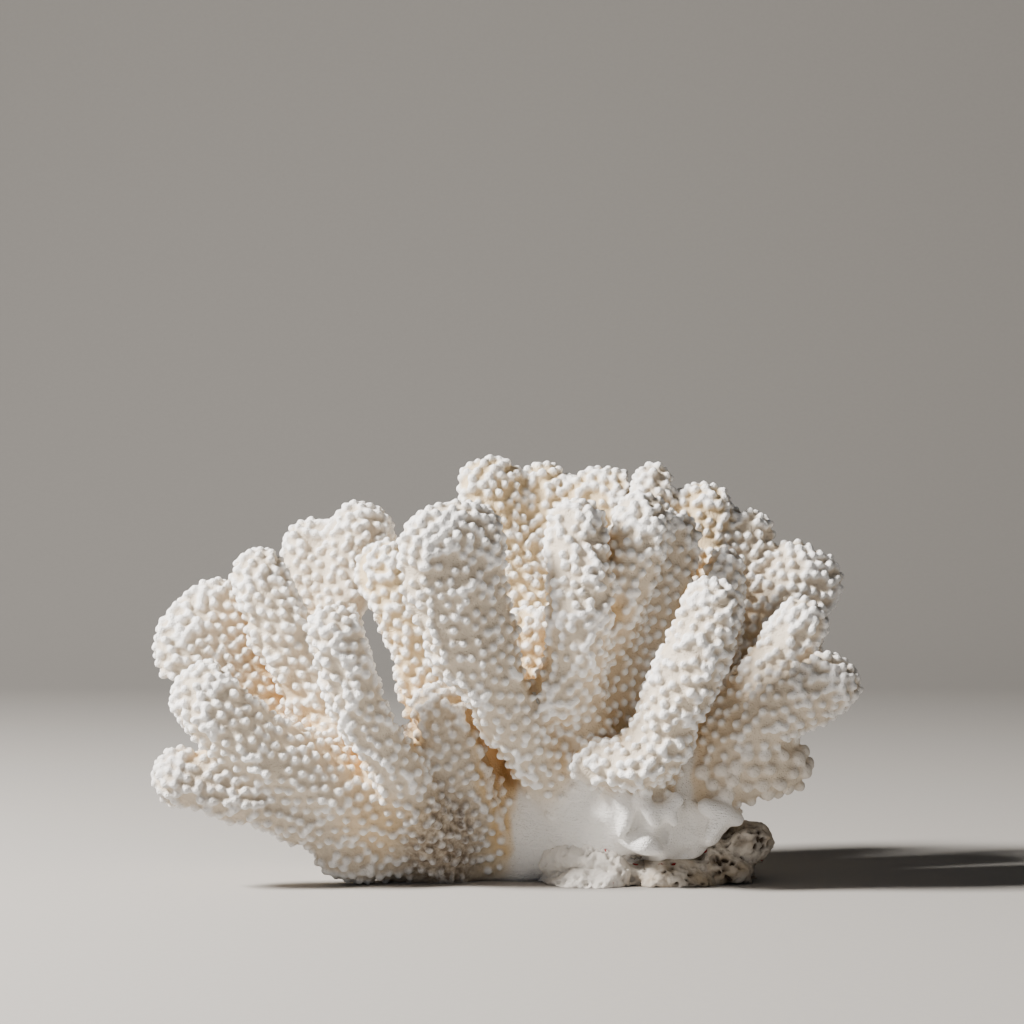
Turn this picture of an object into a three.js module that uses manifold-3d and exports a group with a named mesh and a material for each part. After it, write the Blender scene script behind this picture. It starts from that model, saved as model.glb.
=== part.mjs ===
// Cat's paw coral: the bleached skeleton of one colony. Flattened branches with club or paddle ends fan
// out from two stems that stand on a lump of reef rock, and lumps cover them from fork to tip.
// Millimetres, +Z up. The fan spreads along X and its open front faces -Y.
import * as THREE from "three";
import Module from "manifold-3d";

const wasm = await Module();
wasm.setup();

// Driving dimensions
const LUMP_PITCH = 11.4; // from one lump's top to the hollow beside it, along a branch's end
const ROOT_PITCH = 20; // the same near the root, where the skeleton is smoother
const LUMP_RISE = 1.7; // a lump's top above the hollows round it
const WAVE_RISE = 0.9; // slow swelling of the skin from place to place
const FORK_GAP = 0.35; // left between two pieces that meet at a fork
const SECTION_POWER = 2.4; // 2 is an ellipse, and more is a flatter paddle with fuller edges
const TIP_POWER = 2.5; // the same for a branch end, seen on its flat side
const TIP_STEPS = [0.45, 0.82]; // rings of the rounded end, as shares of its length
const SMOOTH_ROOT = 0.3; // share of a branch that lumps take to reach their full height
const BONE_WHITE = 0xf3ede0;
const BONE_CREAM = 0xead9bd;
const OLD_BONE = 0xb9ab96;
const ROCK_GREY = 0xcfc6b8;

// One blade: the middle line from root to tip, the width and thickness at even steps along it,
// the way its flat side faces, and how far its edges curl towards that side.
const blade = (path, width, thickness, face, { cup = 0, lumps = 1 } = {}) => ({
  path,
  width,
  thickness,
  face,
  cup,
  lumps,
});

// One rounded, uneven lump of skeleton or rock: its middle, its three radii, and how finely it is cut.
const boulder = (middle, radii, detail, rough) => ({ middle, radii, detail, rough });

const FRONT = [0, -1, 0];

// The pieces between main forks. A piece that comes later is cut back where it meets an earlier one.
const PIECES = {
  reef_rock: {
    colour: ROCK_GREY,
    boulders: [
      boulder([31, -4, -1], [20, 25, 10], 1, 1.8),
      boulder([54, 0, 1], [25, 26, 12], 2, 2.2),
      boulder([73, 2, 5], [15, 22, 13], 1, 2),
      boulder([82, -4, 13], [9, 12, 7], 1, 1.4),
    ],
    pits: [
      boulder([45, -25, 10], [5, 5, 2.6], 1, 0.5),
      boulder([52, -25, 14], [3, 6, 4], 1, 0.5),
      boulder([70, -21, 10], [3, 4, 2.6], 0, 0.4),
      boulder([86, -5, 3], [5, 14, 4], 1, 0.6),
      boulder([60, 27, 7], [5, 5, 3.4], 0, 0.6),
    ],
  },
  main_stem: {
    colour: BONE_WHITE,
    blades: [
      blade([[42, 4, 1], [43, 2, 22], [41, 4, 41], [38, 8, 60]], [62, 69, 80, 62], [44, 50, 62, 50], FRONT, { lumps: 0 }),
      blade([[3, 10, -4], [10, 8, 13], [22, 6, 37]], [26, 34, 34], [30, 36, 40], FRONT, { lumps: 0 }),
    ],
    boulders: [
      boulder([36, -27, 25], [6, 6, 4], 1, 0.5),
      boulder([38.5, -27, 19], [3, 4, 5.4], 0, 0.3),
      boulder([46, -29, 28], [4, 6, 4.6], 0, 0.4),
      boulder([50, -28, 24], [6, 7, 5.6], 1, 0.5),
      boulder([56, -27, 27], [4.4, 6, 4], 0, 0.4),
      boulder([49, -22, 13], [6, 6, 5], 1, 0.4),
      boulder([71, -20, 24], [7, 7, 5.4], 1, 0.5),
      boulder([68, -21, 18], [4, 6, 6], 0, 0.4),
    ],
  },
  left_stem: {
    colour: OLD_BONE,
    blades: [
      blade([[-25, 21, -4], [-24, 9, 15], [-23, 3, 34], [-24, 8, 52]], [34, 36, 40, 28], [36, 46, 50, 38], FRONT, { lumps: 0.8 }),
    ],
  },
  left_floor_branch: {
    colour: BONE_WHITE,
    blades: [
      blade([[-24, 0, 8], [-50, -14, 16], [-84, -28, 31], [-115, -34, 39]], [15, 14, 18, 20, 18], [15, 15, 17, 18], [0, -0.8, 0.6]),
      blade([[-88, -29, 33], [-96, -31, 39], [-100, -33, 45]], [15, 14, 12], [13, 13, 12], [0, -0.8, 0.6]),
      blade([[-34, -6, 8], [-48, -14, 9], [-61, -20, 12]], [14, 14, 12], [15, 15, 13], FRONT),
    ],
  },
  front_left_finger: {
    colour: BONE_WHITE,
    blades: [
      blade([[-20, 4, 2], [-35, -28, 38], [-49, -43, 67], [-56, -50, 93]], [30, 22, 17, 19, 19], [26, 20, 17, 17], [-0.1, -1, 0.1]),
    ],
  },
  stub_finger: {
    colour: BONE_WHITE,
    blades: [
      blade([[-14, 4, 12], [-18, -21, 46], [-23, -26, 67]], [28, 24, 18], [24, 17, 13], [0, -1, 0.1]),
    ],
  },
  left_ridge_branch: {
    colour: BONE_WHITE,
    blades: [
      blade([[-20, -2, 10], [-50, -20, 31], [-79, -32, 46], [-94, -36, 58], [-104, -35, 72]], [22, 27, 26, 23, 21], [24, 23, 21, 20], [-0.1, -0.9, 0.5]),
      blade([[-42, -16, 34], [-50, -17, 45], [-60, -15, 57]], [18, 20, 16], [16, 15, 12], [0.1, -1, 0.2]),
    ],
  },
  left_rib_finger: {
    colour: BONE_WHITE,
    blades: [
      blade([[-46, -8, 33], [-61, -10, 59], [-76, -13, 87], [-85, -10, 111]], [20, 18, 20, 18], [16, 15, 14], [0.15, -1, 0.05]),
    ],
  },
  left_outer_fan: {
    colour: BONE_WHITE,
    blades: [
      blade([[-38, 2, 30], [-70, 4, 58], [-113, -3, 92]], [20, 34, 45, 48], [15, 13, 13], [0.4, -0.9, 0.2], { cup: 0.16 }),
    ],
  },
  slit_branch: {
    colour: BONE_CREAM,
    blades: [
      blade([[-1, 4, 4], [-8, -2, 30], [-23, -8, 58], [-33, -10, 86], [-43, -8, 114]], [18, 20, 23, 22, 20, 19], [20, 16, 14, 14], [0.2, -1, 0]),
    ],
  },
  front_paddle: {
    colour: BONE_WHITE,
    blades: [
      blade([[20, -10, 33], [-1, -34, 63], [-14, -46, 94], [-18, -53, 127]], [27, 20, 19, 30, 35, 36], [20, 17, 17, 17], [0.28, -0.95, -0.26]),
    ],
  },
  centre_fork: {
    colour: BONE_WHITE,
    blades: [
      blade([[34, -17, 38], [23, -26, 66], [25, -40, 89], [24, -39, 108], [23, -33, 128]], [24, 15, 20, 20, 18], [20, 14, 19, 17, 15], [-0.3, -0.9, 0.25]),
      blade([[34, -22, 78], [40, -29, 103], [48, -24, 130]], [13, 18, 18], [14, 16, 14], [-0.2, -1, 0.1]),
      blade([[33, -16, 37], [39, -14, 69], [47, -13, 96], [59, -12, 124]], [26, 27, 27, 21], [14, 12, 12, 12], [0.5, -0.85, -0.2], { cup: 0.2 }),
    ],
    boulders: [
      boulder([18.5, -31, 67], [7.5, 8, 11], 1, 0.6),
    ],
  },
  right_front_finger: {
    colour: BONE_WHITE,
    blades: [
      blade([[44, -22, 33], [53, -44, 62], [62, -49, 83], [67, -50, 102]], [20, 20, 21, 19], [18, 17, 16, 14], [-0.35, -0.95, 0.2]),
      blade([[26, -32, 42], [36, -40, 40], [52, -42, 46], [58, -42, 53]], [13, 13, 14, 12], [14, 14, 14], [0, -0.9, 0.4]),
    ],
  },
  saddle_lobe: {
    colour: BONE_CREAM,
    blades: [blade([[14, 0, 37], [9, -6, 67], [8, -8, 92]], [24, 21, 19], [16, 14, 12], FRONT)],
  },
  left_back_fan: {
    colour: BONE_WHITE,
    blades: [
      blade([[-40, 8, 28], [-64, 20, 66], [-66, 30, 122]], [20, 24, 22], [16, 14, 14], [0.2, -1, 0]),
      blade([[-46, 9, 40], [-54, 14, 56], [-58, 19, 80], [-52, 23, 104], [-48, 25, 127]], [16, 16, 16, 20, 22, 20], [14, 13, 14], [0.1, -1, 0]),
    ],
  },
  top_back_fan: {
    colour: BONE_CREAM,
    blades: [
      blade([[17, 12, 43], [9, 24, 81], [1, 32, 109], [-7, 36, 143]], [24, 23, 22, 24], [15, 13, 14], [0.3, -1, 0]),
      blade([[18, 26, 62], [17, 34, 94], [13, 43, 141]], [20, 20, 18], [15, 13, 13], FRONT),
      blade([[30, 16, 43], [34, 33, 94], [33, 40, 140]], [26, 27, 26], [15, 13, 13], FRONT, { cup: 0.12 }),
    ],
  },
  top_back_finger: {
    colour: BONE_WHITE,
    blades: [blade([[42, 0, 57], [48, 8, 107], [51, 15, 140]], [20, 16, 12], [16, 14, 12], FRONT)],
  },
  right_thin_blade: {
    colour: BONE_CREAM,
    blades: [
      blade([[48, -6, 41], [56, 0, 77], [63, 8, 105], [68, 15, 134]], [24, 22, 20, 22], [13, 11, 12], [-0.25, -1, 0]),
    ],
  },
  right_small_knob: {
    colour: BONE_WHITE,
    blades: [blade([[62, -4, 47], [71, -9, 82], [75, -9, 112]], [20, 15, 12], [14, 12, 12], FRONT)],
  },
  right_mid_finger: {
    colour: BONE_WHITE,
    blades: [
      blade([[58, -10, 37], [85, -22, 66], [103, -28, 94]], [24, 19, 17], [18, 16, 14], [-0.1, -1, 0.1]),
    ],
  },
  right_low_finger: {
    colour: BONE_WHITE,
    blades: [
      blade([[58, -8, 36], [85, -25, 55], [103, -33, 66], [113, -36, 74]], [26, 21, 20, 20], [20, 18, 18], [0.1, -1, 0.2]),
    ],
  },
  right_under_lobe: {
    colour: BONE_CREAM,
    blades: [blade([[56, -8, 33], [80, -18, 40], [100, -24, 42]], [26, 22, 20], [24, 22, 20], [0, -1, 0.2])],
  },
  right_upper_fan: {
    colour: BONE_WHITE,
    blades: [
      blade([[62, 2, 41], [76, 8, 81], [84, 18, 125]], [24, 22, 18], [16, 14, 14], [0, -1, 0]),
      blade([[72, 4, 54], [90, 8, 80], [107, 12, 112]], [26, 28, 29], [16, 14, 14], [-0.1, -1, 0]),
    ],
  },
  back_left_wing: {
    colour: BONE_CREAM,
    blades: [blade([[-26, 18, 18], [-50, 38, 36], [-82, 56, 60]], [24, 26, 30], [18, 15, 15], [-0.3, 0.8, 0.5])],
  },
  back_left_finger: {
    colour: BONE_WHITE,
    blades: [blade([[-36, 22, 34], [-60, 36, 58], [-66, 50, 98]], [20, 21, 20], [16, 14, 14], [-0.3, 1, 0])],
  },
  back_left_tall: {
    colour: BONE_WHITE,
    blades: [blade([[-8, 14, 26], [-14, 44, 72], [-20, 60, 106]], [24, 27, 30], [18, 15, 15], [-0.2, 1, -0.2])],
  },
  back_middle: {
    colour: BONE_WHITE,
    blades: [blade([[26, 18, 33], [20, 54, 71], [14, 72, 107]], [30, 31, 36], [18, 16, 15], [0, 1, -0.3])],
  },
  back_right_tall: {
    colour: BONE_WHITE,
    blades: [blade([[48, 16, 33], [62, 48, 73], [70, 62, 105]], [28, 30, 33], [18, 15, 15], [0.2, 1, -0.2])],
  },
  back_right_wing: {
    colour: BONE_CREAM,
    blades: [blade([[58, 12, 31], [84, 38, 53], [104, 46, 70]], [26, 27, 30], [18, 16, 15], [0.5, 0.8, 0.3])],
  },
  back_low_lobe: {
    colour: BONE_CREAM,
    blades: [blade([[16, 20, 19], [8, 50, 33], [0, 70, 45]], [28, 28, 30], [20, 17, 16], [-0.1, 0.5, 0.8])],
  },
};

// A value between evenly spaced ones, eased so that the outline has no corners.
function between(values, share) {
  const at = share * (values.length - 1);
  const low = Math.min(Math.floor(at), values.length - 2);
  const step = THREE.MathUtils.smoothstep(at - low, 0, 1);
  return THREE.MathUtils.lerp(values[low], values[low + 1], step);
}

// Slow swelling and sinking of the skin, from -1 to 1, for a point in millimetres.
const wave = ({ x, y, z }) => Math.sin(0.21 * x + 0.13 * z) * Math.cos(0.17 * y - 0.19 * z + 0.05 * x);

const signedPower = (value, power) => Math.sign(value) * Math.abs(value) ** power;

// The stations of a blade along its middle line: where, and how far the rounded end has closed in.
function stations(length, tipLength) {
  const body = length - tipLength;
  const found = [];
  let at = 0;
  while (at < body) {
    found.push({ share: at / length, closed: 0 });
    at += THREE.MathUtils.lerp(ROOT_PITCH, LUMP_PITCH, Math.min(1, (2 * at) / length));
  }
  for (const closed of TIP_STEPS) found.push({ share: (body + closed * tipLength) / length, closed });
  return found;
}

// A blade as one closed solid. margin is added all round it, for the cutter that clears its neighbours.
function bladeSolid({ path, width, thickness, face, cup, lumps }, margin) {
  const line = new THREE.CatmullRomCurve3(path.map((p) => new THREE.Vector3(...p)), false, "centripetal");
  const length = line.getLength();
  const endWidth = width.at(-1);
  const tipLength = Math.min(0.42 * endWidth, 0.4 * length);
  const across = Math.max(...width) + Math.max(...thickness);
  const pitch = lumps > 0 ? LUMP_PITCH : 1.4 * LUMP_PITCH;
  const sides = 2 * Math.max(4, Math.round((0.75 * across) / pitch));
  const flat = new THREE.Vector3(...face).normalize();
  const points = [];
  const rings = stations(length, tipLength);
  rings.forEach(({ share, closed }, ring) => {
    const middle = line.getPointAt(share);
    const along = line.getTangentAt(share);
    const out = flat.clone().addScaledVector(along, -flat.dot(along)).normalize();
    const side = new THREE.Vector3().crossVectors(out, along);
    const a = (between(width, share) / 2) * (1 - closed ** TIP_POWER) ** (1 / TIP_POWER) + margin;
    const b = (between(thickness, share) / 2) * Math.sqrt(1 - closed ** 2) + margin;
    const rise = (lumps * LUMP_RISE * Math.min(1, share / SMOOTH_ROOT)) / 2;
    for (let k = 0; k < sides; k++) {
      const turn = (2 * Math.PI * k) / sides;
      const u = a * signedPower(Math.cos(turn), 2 / SECTION_POWER);
      const v = b * signedPower(Math.sin(turn), 2 / SECTION_POWER);
      const outward = side
        .clone()
        .multiplyScalar(Math.cos(turn) / a)
        .addScaledVector(out, Math.sin(turn) / b)
        .addScaledVector(along, closed / b)
        .normalize();
      const point = middle
        .clone()
        .addScaledVector(side, u)
        .addScaledVector(out, v + (cup * u * u) / a);
      const lump = (ring + k) % 2 === 0 ? rise : -rise;
      points.push(point.addScaledVector(outward, lump + WAVE_RISE * wave(point)));
    }
  });
  points.push(line.getPointAt(0).addScaledVector(line.getTangentAt(0), -margin));
  points.push(line.getPointAt(1).addScaledVector(line.getTangentAt(1), margin + (lumps * LUMP_RISE) / 4));
  return solid(points, bladeFaces(rings.length, sides));
}

// Triangles between rings, with each lump's top as the point of a four-sided pyramid, and a fan at each end.
function bladeFaces(rings, sides) {
  const root = rings * sides;
  const tip = root + 1;
  const faces = [];
  for (let k = 0; k < sides; k++) {
    const next = (k + 1) % sides;
    for (let ring = 0; ring + 1 < rings; ring++) {
      const [p, q] = [ring * sides + k, ring * sides + next];
      const [r, s] = [p + sides, q + sides];
      if ((ring + k) % 2 === 0) faces.push(p, q, r, q, s, r);
      else faces.push(p, q, s, p, s, r);
    }
    faces.push(root, next, k);
    faces.push(tip, (rings - 1) * sides + k, (rings - 1) * sides + next);
  }
  return faces;
}

// A boulder as one closed solid: a ball cut into triangles, stretched, and made uneven.
function boulderSolid({ middle, radii, detail, rough }, margin) {
  const ball = new THREE.IcosahedronGeometry(1, detail);
  const centre = new THREE.Vector3(...middle);
  const stretch = new THREE.Vector3(...radii).addScalar(margin);
  const corners = new Map();
  const points = [];
  const faces = [];
  const place = ball.getAttribute("position");
  for (let k = 0; k < place.count; k++) {
    const way = new THREE.Vector3().fromBufferAttribute(place, k);
    const key = way.toArray().map((c) => c.toFixed(4)).join();
    if (!corners.has(key)) {
      corners.set(key, points.length);
      const bump = rough * Math.sin(9 * way.x + 3 * way.z + centre.x) * Math.cos(8 * way.y - 5 * way.z);
      points.push(way.clone().multiply(stretch).addScaledVector(way, bump).add(centre));
    }
    faces.push(corners.get(key));
  }
  return solid(points, faces);
}

// Points and triangles as a solid that can be joined and cut.
function solid(points, faces) {
  const made = new wasm.Manifold(
    new wasm.Mesh({
      numProp: 3,
      vertProperties: new Float32Array(points.flatMap((p) => p.toArray())),
      triVerts: new Uint32Array(faces),
    }),
  );
  if (made.volume() < 0) throw new Error("a solid is inside out");
  return made;
}

const joined = (solids) => solids.reduce((sum, one) => sum.add(one));

// A whole piece before its neighbours cut it.
function wholePiece({ blades = [], boulders = [], pits = [] }, margin) {
  const bodies = [
    ...blades.map((one) => bladeSolid(one, margin)),
    ...boulders.map((one) => boulderSolid(one, margin)),
  ];
  return pits.reduce((body, pit) => body.subtract(boulderSolid(pit, -margin)), joined(bodies));
}

// Only the largest body of a solid: what a cut left loose beside it is dropped.
function largest(made) {
  return made.decompose().reduce((best, one) => (one.volume() > best.volume() ? one : best));
}

// Everything under the flat cut on which the colony stands.
function belowFoot() {
  const size = 400;
  const slab = new THREE.BoxGeometry(size, size, size).translate(0, 0, -size / 2);
  const place = slab.getAttribute("position");
  const corners = new Map();
  const points = [];
  const faces = [...slab.index.array].map((k) => {
    const point = new THREE.Vector3().fromBufferAttribute(place, k);
    const key = point.toArray().join();
    if (!corners.has(key)) corners.set(key, points.push(point) - 1);
    return corners.get(key);
  });
  return solid(points, faces);
}

// A solid as a three.js mesh with flat faces.
function meshOf(made, name, colour) {
  const { vertProperties, triVerts } = made.getMesh();
  const geometry = new THREE.BufferGeometry()
    .setAttribute("position", new THREE.BufferAttribute(vertProperties, 3))
    .setIndex(new THREE.BufferAttribute(triVerts, 1));
  const material = new THREE.MeshStandardMaterial({ color: colour, roughness: 0.88, metalness: 0, flatShading: true });
  const mesh = new THREE.Mesh(geometry, material);
  mesh.name = name;
  return mesh;
}

const coral = new THREE.Group();
coral.name = "cats_paw_coral";
let taken = belowFoot();
for (const [name, piece] of Object.entries(PIECES)) {
  const whole = wholePiece(piece, 0);
  coral.add(meshOf(largest(whole.subtract(taken)), name, piece.colour));
  taken = taken.add(whole).add(wholePiece(piece, FORK_GAP));
}

// The origin is under the middle of the colony, on the face it stands on.
const middle = new THREE.Box3().setFromObject(coral).getCenter(new THREE.Vector3());
coral.position.set(-middle.x, -middle.y, 0);

export default coral;
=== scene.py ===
# %% [markdown]
# # Cats paw coral
# A cats paw coral is a thick branching coral with blunt, flattened branches.
# This colony of branching coral died and was bleached, so what is left is its white skeleton of lime.
# Flattened branches fan out from two stems on a lump of reef rock. Small knobs of skeleton, the verrucae,
# cover them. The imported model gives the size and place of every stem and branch. Here the branches are
# fused into one grown skin, the verrucae are set on it, and the result is cut at the forks again.

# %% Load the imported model
import math

import bmesh
import bpy
import numpy as np
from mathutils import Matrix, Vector


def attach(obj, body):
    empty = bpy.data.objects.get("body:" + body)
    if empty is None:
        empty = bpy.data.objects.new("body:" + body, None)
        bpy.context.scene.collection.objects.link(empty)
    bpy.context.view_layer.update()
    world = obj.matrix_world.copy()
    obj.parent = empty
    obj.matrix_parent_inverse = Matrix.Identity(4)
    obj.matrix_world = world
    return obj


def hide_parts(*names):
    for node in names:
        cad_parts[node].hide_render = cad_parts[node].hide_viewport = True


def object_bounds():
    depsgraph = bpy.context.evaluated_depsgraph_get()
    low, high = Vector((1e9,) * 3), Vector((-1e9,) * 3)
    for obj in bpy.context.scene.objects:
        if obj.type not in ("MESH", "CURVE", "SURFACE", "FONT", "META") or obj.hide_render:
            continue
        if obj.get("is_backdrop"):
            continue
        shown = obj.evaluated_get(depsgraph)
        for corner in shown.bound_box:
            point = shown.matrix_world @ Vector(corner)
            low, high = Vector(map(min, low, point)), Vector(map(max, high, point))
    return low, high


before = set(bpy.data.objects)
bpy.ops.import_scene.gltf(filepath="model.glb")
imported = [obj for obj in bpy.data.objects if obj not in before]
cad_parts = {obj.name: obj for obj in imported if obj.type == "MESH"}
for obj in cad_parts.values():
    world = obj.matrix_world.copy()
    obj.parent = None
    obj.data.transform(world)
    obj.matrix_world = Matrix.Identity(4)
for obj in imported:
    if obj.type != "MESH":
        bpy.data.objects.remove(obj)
cad_low, cad_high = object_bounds()
nodes = sorted(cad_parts)
MM = 0.001
print("pieces", len(nodes), "size in mm", [round(c / MM, 1) for c in cad_high - cad_low])

# %% [markdown]
# ## Helpers for node trees
# Geometry Nodes and materials are both trees of nodes. One function adds a node, sets it up and links
# its inputs. A value is either a plain number or the output socket of an earlier node.


# %% Add a node
def add(tree, kind, sockets=None, **settings):
    node = tree.nodes.new(kind)
    for name, value in settings.items():
        setattr(node, name, value)
    for key, value in (sockets or {}).items():
        if isinstance(value, bpy.types.NodeSocket):
            tree.links.new(value, node.inputs[key])
        else:
            node.inputs[key].default_value = value
    return node


# %% [markdown]
# A tree with named inputs is like a function: the sizes are given from outside, by the identifier of
# each input. When it has run, the result is kept as a plain mesh and the modifier goes.


# %% Start a tree and run a tree
def geometry_tree(name, inputs):
    """A Geometry Nodes tree with named inputs: {name: (socket type, default)}."""
    tree = bpy.data.node_groups.new(name, "GeometryNodeTree")
    tree.interface.new_socket("Geometry", in_out="INPUT", socket_type="NodeSocketGeometry")
    tree.interface.new_socket("Geometry", in_out="OUTPUT", socket_type="NodeSocketGeometry")
    for key, (kind, value) in inputs.items():
        socket = tree.interface.new_socket(key, in_out="INPUT", socket_type=kind)
        if value is not None:
            socket.default_value = value
    return tree, add(tree, "NodeGroupInput").outputs


def freeze(piece):
    """Turn a piece and its modifiers into a plain mesh."""
    graph = bpy.context.evaluated_depsgraph_get()
    mesh = bpy.data.meshes.new_from_object(piece.evaluated_get(graph))
    piece.modifiers.clear()
    old = piece.data
    piece.data = mesh
    bpy.data.meshes.remove(old)
    return piece


def grow(piece, tree, **values):
    """Run a tree on a piece, with values for its named inputs."""
    modifier = piece.modifiers.new(tree.name, "NODES")
    modifier.node_group = tree
    for socket in tree.interface.items_tree:
        if socket.in_out == "INPUT" and socket.name in values:
            modifier[socket.identifier] = values[socket.name]
    return freeze(piece)


def fuse(piece, voxel):
    """Fuse overlapping shells into one skin, built from cubes of space of one size."""
    modifier = piece.modifiers.new("fuse", "REMESH")
    modifier.mode = "VOXEL"
    modifier.voxel_size = voxel
    return freeze(piece)


# %% [markdown]
# Attributes are numbers that live on the points or faces of a mesh. The skin carries a few: which piece
# it belongs to, how near a tip it is, how open it lies to the air. These helpers make and read them in
# node trees.


# %% Attributes in node trees
def read(tree, name, kind="FLOAT"):
    return add(tree, "GeometryNodeInputNamedAttribute", {"Name": name}, data_type=kind).outputs[0]


def store(tree, geometry, name, value, kind="FLOAT", domain="POINT"):
    sockets = {"Geometry": geometry, "Name": name, "Value": value}
    return add(tree, "GeometryNodeStoreNamedAttribute", sockets, data_type=kind, domain=domain).outputs[0]


def calc(tree, operation, first, second=0.0):
    return add(tree, "ShaderNodeMath", {0: first, 1: second}, operation=operation).outputs[0]


def vector(tree, operation, first, second=(0.0, 0.0, 0.0)):
    key = "Scale" if operation == "SCALE" else 1
    node = add(tree, "ShaderNodeVectorMath", {0: first, key: second}, operation=operation)
    return node.outputs["Value" if operation in ("DOT_PRODUCT", "LENGTH") else "Vector"]


def span(tree, value, low, high, out_low=0.0, out_high=1.0):
    """Map a value from one range to another and stop at its ends."""
    sockets = {0: value, 1: low, 2: high, 3: out_low, 4: out_high}
    return add(tree, "ShaderNodeMapRange", sockets).outputs[0]


def blur(tree, value, rounds, kind="FLOAT"):
    sockets = {"Value": value, "Iterations": rounds}
    return add(tree, "GeometryNodeBlurAttribute", sockets, data_type=kind).outputs[0]


def nearest(tree, mesh, value, place, kind="FLOAT"):
    sockets = {"Mesh": mesh, "Value": value, "Sample Position": place}
    return add(tree, "GeometryNodeSampleNearestSurface", sockets, data_type=kind).outputs[0]


# %% [markdown]
# ## The bare skeleton
# The solids are copied into one mesh. Each face keeps the number of its piece, so that the skin can be
# cut up again later, and each point its reach: 0 where its branch starts and 1 at its tip.


# %% Meshes as arrays of numbers
def object_from(name, mesh):
    made = bpy.data.objects.new(name, mesh)
    bpy.context.scene.collection.objects.link(made)
    return made


def points_of(mesh):
    found = np.zeros(len(mesh.vertices) * 3, np.float32)
    mesh.vertices.foreach_get("co", found)
    return found.reshape(-1, 3)


def triangles_of(mesh):
    mesh.calc_loop_triangles()
    found = np.zeros(len(mesh.loop_triangles) * 3, np.int32)
    mesh.loop_triangles.foreach_get("vertices", found)
    return found.reshape(-1, 3)


def values_of(mesh, name, kind=np.float32):
    data = mesh.attributes[name].data
    found = np.zeros(len(data), kind)
    data.foreach_get("value", found)
    return found


def set_values(mesh, name, values, kind="FLOAT", domain="POINT"):
    if name in mesh.attributes:
        mesh.attributes.remove(mesh.attributes[name])
    made = mesh.attributes.new(name, kind, domain)
    made.data.foreach_set("value", np.ascontiguousarray(values, np.int32 if kind == "INT" else np.float32))


# %% Copy the branches into one mesh
HEART = np.array([0.0, 0.0, 15.0]) * MM
SMOOTH_PIECE = "main_stem"
ROCK_PIECE = "reef_rock"
all_points, all_faces, all_owner, all_reach = [], [], [], []
first = 0
for number, name in enumerate(nodes):
    if name == ROCK_PIECE:
        continue
    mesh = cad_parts[name].data
    points, faces = points_of(mesh), triangles_of(mesh)
    away = np.linalg.norm(points - HEART, axis=1)
    reach = (away - away.min()) / (away.max() - away.min())
    all_points.append(points)
    all_faces.append(faces + first)
    all_owner.append(np.full(len(faces), number))
    all_reach.append(0 * reach if name == SMOOTH_PIECE else reach)
    first += len(points)
mesh = bpy.data.meshes.new("solids")
mesh.from_pydata(np.concatenate(all_points).tolist(), [], np.concatenate(all_faces).tolist())
set_values(mesh, "owner", np.concatenate(all_owner), "INT", "FACE")
set_values(mesh, "reach", np.concatenate(all_reach))
solids = object_from("solids", mesh)
print("faces of the branches", len(mesh.polygons))

# %% [markdown]
# ## One grown skin
# On the real colony nothing is joined on: every branch grows out of the skeleton below it, and the crook
# of each fork is rounded. Metaballs or a sculpted mesh could give that. Here the solids swell a little,
# more at the forks than at the tips, and fuse in a voxel remesh, because that keeps them to their size.

# %% Swell and fuse the branches
SKIN_VOXEL = 1.3 * MM
SWELL_AT_FORK, SWELL_AT_TIP = 1.2 * MM, 0.3 * MM
tree, inputs = geometry_tree("swell", {"Root": ("NodeSocketFloat", 0.0), "Tip": ("NodeSocketFloat", 0.0)})
sockets = {"Geometry": inputs["Geometry"], "Distance": 0.01 * MM}
welded = add(tree, "GeometryNodeMergeByDistance", sockets).outputs[0]
out = span(tree, read(tree, "reach"), 0.0, 1.0, inputs["Root"], inputs["Tip"])
shift = vector(tree, "SCALE", add(tree, "GeometryNodeInputNormal").outputs[0], out)
moved = add(tree, "GeometryNodeSetPosition", {"Geometry": welded, "Offset": shift}).outputs[0]
add(tree, "NodeGroupOutput", {0: moved})

skin = object_from("skin", solids.data.copy())
grow(skin, tree, Root=SWELL_AT_FORK, Tip=SWELL_AT_TIP)
fuse(skin, SKIN_VOXEL)
print("faces of the skin", len(skin.data.polygons))

# %% [markdown]
# Smoothing takes the flat faces of the solids away. A point moves to the mean of its neighbours a few
# times over, and then a little in or out, because no branch grows evenly. The bend tells ridges from
# hollows: it is how far a point stands out from a much smoother skin.

# %% Smooth the skin and measure its bends
sizes = {"Solids": "NodeSocketObject", "Rounds": "NodeSocketInt", "Wave": "NodeSocketFloat"}
tree, inputs = geometry_tree("smooth_skin", {name: (kind, None) for name, kind in sizes.items()})
here = add(tree, "GeometryNodeInputPosition").outputs[0]
normal = add(tree, "GeometryNodeInputNormal").outputs[0]
source = add(tree, "GeometryNodeObjectInfo", {"Object": inputs["Solids"]}).outputs["Geometry"]
owner = nearest(tree, source, read(tree, "owner", "INT"), here, "INT")
geometry = store(tree, inputs["Geometry"], "owner", owner, "INT", "FACE")
reach = blur(tree, nearest(tree, source, read(tree, "reach"), here), 12)
geometry = store(tree, geometry, "reach", reach)
soft = blur(tree, here, inputs["Rounds"], "FLOAT_VECTOR")
geometry = add(tree, "GeometryNodeSetPosition", {"Geometry": geometry, "Position": soft}).outputs[0]
sockets = {"Vector": here, "Scale": 1 / (16 * MM), "Detail": 2.0}
noise = add(tree, "ShaderNodeTexNoise", sockets).outputs[0]
wave = calc(tree, "MULTIPLY", calc(tree, "SUBTRACT", noise, 0.5), inputs["Wave"])
shift = vector(tree, "SCALE", normal, wave)
geometry = add(tree, "GeometryNodeSetPosition", {"Geometry": geometry, "Offset": shift}).outputs[0]
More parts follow.
